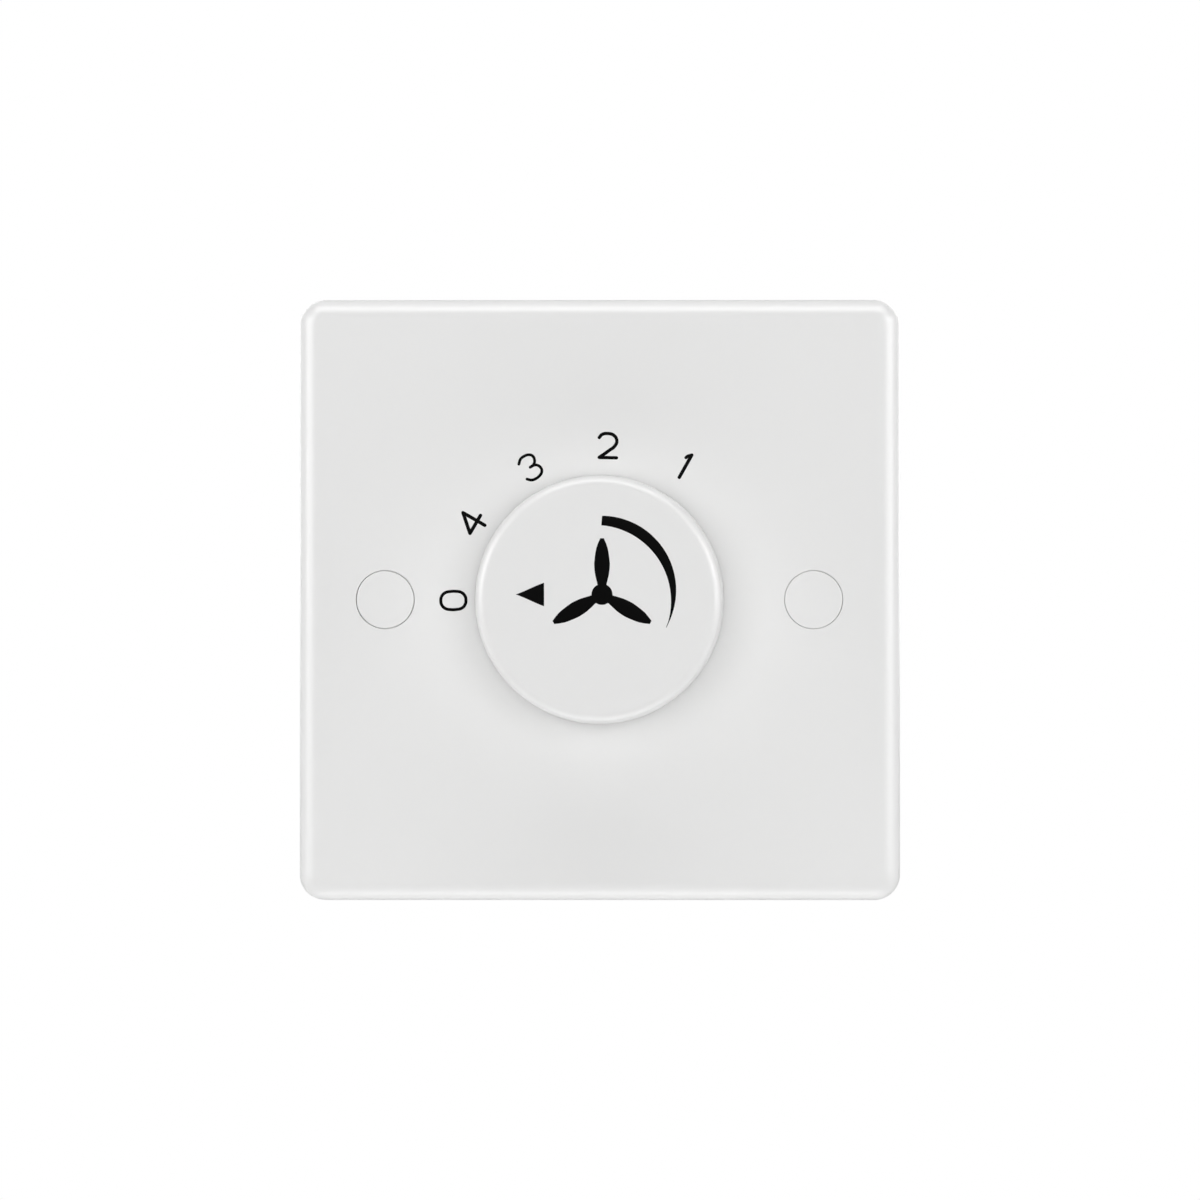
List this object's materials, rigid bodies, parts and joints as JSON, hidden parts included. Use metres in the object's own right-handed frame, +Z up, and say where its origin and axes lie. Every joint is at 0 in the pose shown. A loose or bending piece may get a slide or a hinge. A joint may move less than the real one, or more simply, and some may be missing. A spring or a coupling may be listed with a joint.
{
  "type": "fan speed control switch",
  "caption": "Square white wall plate with a round knob that turns a stepped fan speed switch, with capped fixing screws and a vented rear housing.",
  "frame": {"origin": "on the knob's axis, in the wall plane at the back rim of the plate", "axes": "+Y into the wall along the fixing screws, +Z up, +X to the right seen from the front"},
  "size_m": [0.085, 0.0534, 0.085],
  "materials": {
    "white_moulding": "satin gloss urea moulding",
    "plated_steel": "bright zinc plate",
    "spring_steel": "bright",
    "acetal": "natural",
    "switch_moulding": "moulded",
    "contact_bronze": "bright",
    "board_laminate": "solder resist",
    "capacitor_case": "moulded box",
    "resistor_coat": "lacquered",
    "terminal_brass": "bright turned",
    "terminal_moulding": "moulded",
    "housing_moulding": "fine moulded grain"
  },
  "bodies": {
    "base": {"front_plate": "white_moulding", "screw_cap_left": "white_moulding", "screw_cap_right": "white_moulding", "fixing_screws": "plated_steel", "housing_screws": "plated_steel", "terminal_screws": "plated_steel", "bush_nut": "plated_steel", "lock_washer": "plated_steel", "detent_spring": "spring_steel", "switch_frame": "switch_moulding", "switch_base": "switch_moulding", "speed_contacts": "contact_bronze", "common_contact": "contact_bronze", "circuit_board": "board_laminate", "large_capacitor": "capacitor_case", "small_capacitor": "capacitor_case", "bleed_resistors": "resistor_coat", "surge_resistors": "resistor_coat", "supply_terminal": "terminal_brass", "fan_terminal": "terminal_brass", "terminal_block": "terminal_moulding", "rear_housing": "housing_moulding"},
    "control": {"knob": "white_moulding", "knob_clip": "spring_steel", "spindle": "acetal", "spindle_clip": "spring_steel", "rotor": "acetal", "wiper": "contact_bronze"}
  },
  "joints": [
    {"name": "knob_turn", "type": "hinge", "parent": "base", "child": "control", "pos_m": [0, 0, 0], "axis": [0, 1, 0], "range_deg": [0, 120], "deforming": ["detent_spring"]}
  ]
}
